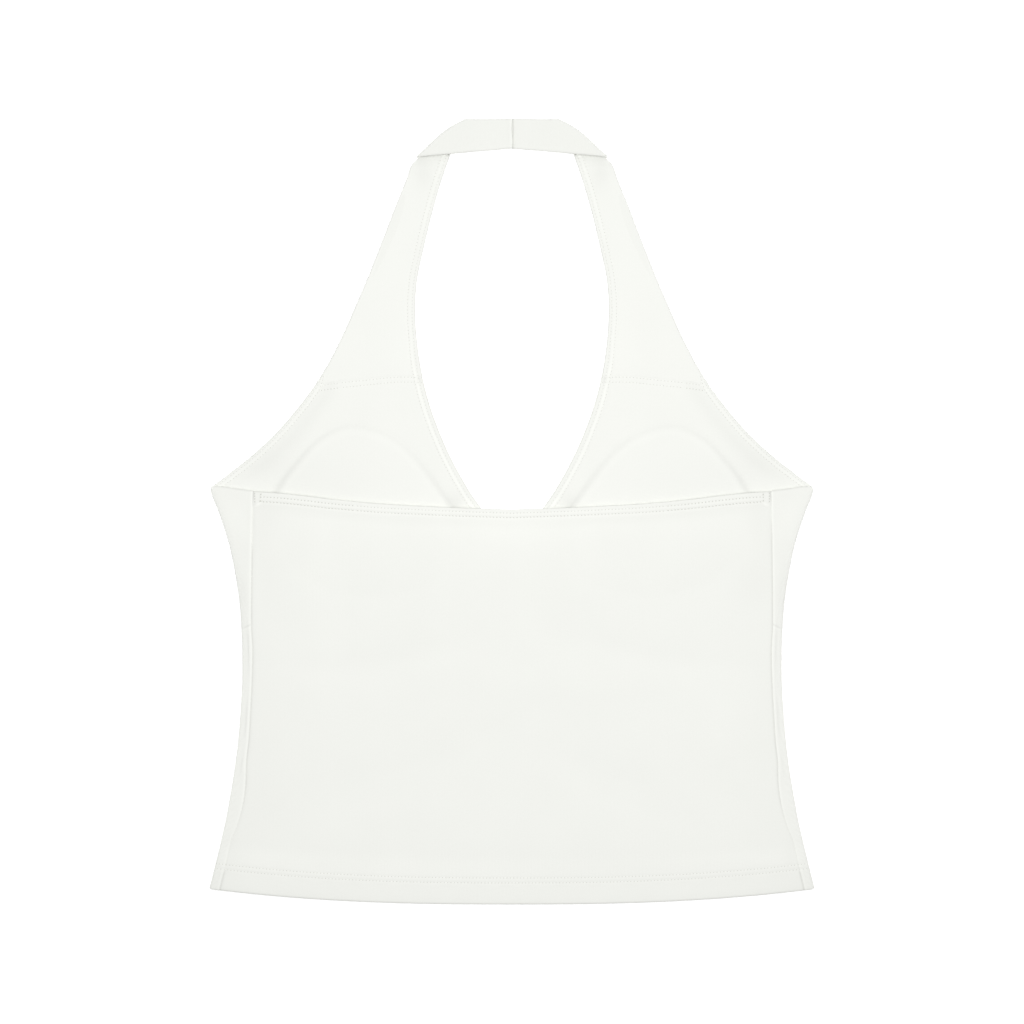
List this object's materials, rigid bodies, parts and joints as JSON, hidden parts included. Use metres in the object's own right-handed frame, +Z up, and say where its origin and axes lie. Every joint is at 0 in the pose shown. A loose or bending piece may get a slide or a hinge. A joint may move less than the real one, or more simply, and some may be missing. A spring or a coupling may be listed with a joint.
{
  "type": "halter neck top",
  "caption": "Sleeveless halter top laid flat with its back up: straps fold over into a neck band, padded bust behind, straight low back, turned hem.",
  "frame": {"origin": "centre of the outline, on the surface the top lies on", "axes": "+Y to the neck, +X to the right as seen from above, +Z up through the front and then the back"},
  "size_m": [0.3934, 0.5113, 0.0083],
  "materials": {
    "outer_knit": "matt fine jersey, off-white",
    "lining_knit": "matt fine jersey, off-white",
    "pad_foam": "foam covered with brushed tricot"
  },
  "bodies": {
    "root": {"front_lower": "outer_knit", "front_bust": "outer_knit", "bust_lining": "lining_knit", "cup_pad_left": "pad_foam", "cup_pad_right": "pad_foam", "strap_left": "outer_knit", "strap_right": "outer_knit", "back_panel": "outer_knit"}
  },
  "joints": []
}
